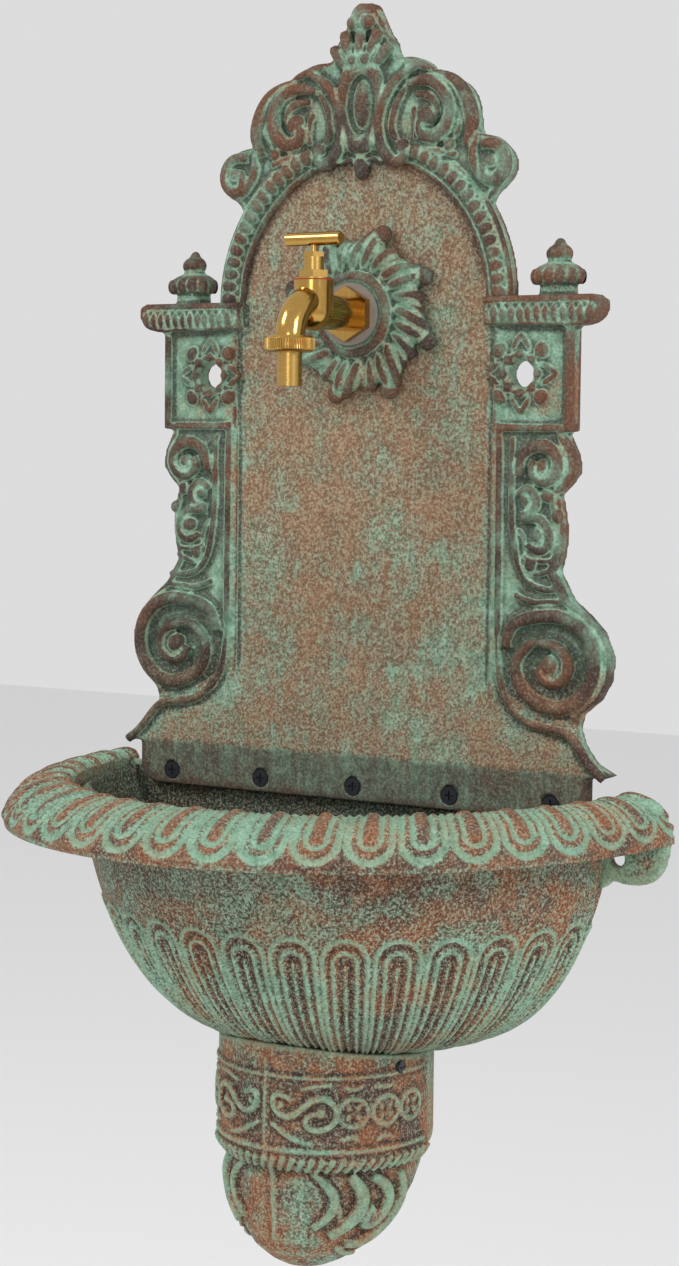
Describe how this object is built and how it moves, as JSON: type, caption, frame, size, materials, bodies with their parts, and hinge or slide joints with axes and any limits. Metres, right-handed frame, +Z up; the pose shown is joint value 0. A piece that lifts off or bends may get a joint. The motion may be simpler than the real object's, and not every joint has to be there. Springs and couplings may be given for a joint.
{
  "type": "wall fountain",
  "caption": "Wall-hung cast fountain: ornamental arched back plate, half-round basin on a corbel, and a bib tap with a T-handle over the basin.",
  "frame": {"origin": "on the wall plane, midway between the two upper wall holes", "axes": "+Z up, +Y into the wall, front faces -Y, +X to the right as seen from the front"},
  "size_m": [0.4248, 0.2495, 0.7705],
  "materials": {
    "patina_iron": "sand-cast, painted verdigris over rust brown, dry and mottled",
    "polished_brass": "polished",
    "black_screw": "blackened",
    "black_rubber": "matt",
    "grey_fibre": "matt",
    "red_fibre": "matt",
    "white_packing": "matt"
  },
  "bodies": {
    "fountain": {"back_plate": "patina_iron", "basin": "patina_iron", "corbel": "patina_iron", "strip_screws": "black_screw", "corbel_set_screws": "black_screw", "waste_strainer": "polished_brass", "waste_washer": "black_rubber", "waste_lower_washer": "black_rubber", "waste_nut": "polished_brass", "tap_body": "polished_brass", "tap_washer": "grey_fibre", "back_washer": "black_rubber", "back_nut": "polished_brass", "bonnet_gasket": "red_fibre", "bonnet": "polished_brass", "gland_packing": "white_packing", "gland_nut": "polished_brass"},
    "valve": {"jumper": "polished_brass", "valve_washer": "black_rubber", "washer_nut": "polished_brass"},
    "spindle": {"spindle": "polished_brass", "handle_bar": "polished_brass"},
    "hose_tail": {"hose_tail": "polished_brass", "union_seal": "black_rubber"},
    "union_nut": {"union_nut": "polished_brass"}
  },
  "joints": [
    {"name": "valve_lift", "type": "slide", "parent": "fountain", "child": "valve", "axis": [0, 0, 1], "range_m": [0, 0.005]},
    {"name": "handle_turn", "type": "hinge", "parent": "valve", "child": "spindle", "pos_m": [0, -0.0645, 0.079], "axis": [0, 0, 1], "range_deg": [0, 900]},
    {"name": "tail_drop", "type": "slide", "parent": "fountain", "child": "hose_tail", "axis": [0, 0, -1], "range_m": [0, 0.00726]},
    {"name": "union_nut_turn", "type": "hinge", "parent": "hose_tail", "child": "union_nut", "pos_m": [0, -0.09, 0.015], "axis": [0, 0, -1], "range_deg": [0, 1440]}
  ],
  "couplings": [
    {"joint": "valve_lift", "follows": "handle_turn", "m_per_rad": 0.00031831},
    {"joint": "tail_drop", "follows": "union_nut_turn", "m_per_rad": 0.00028871}
  ]
}
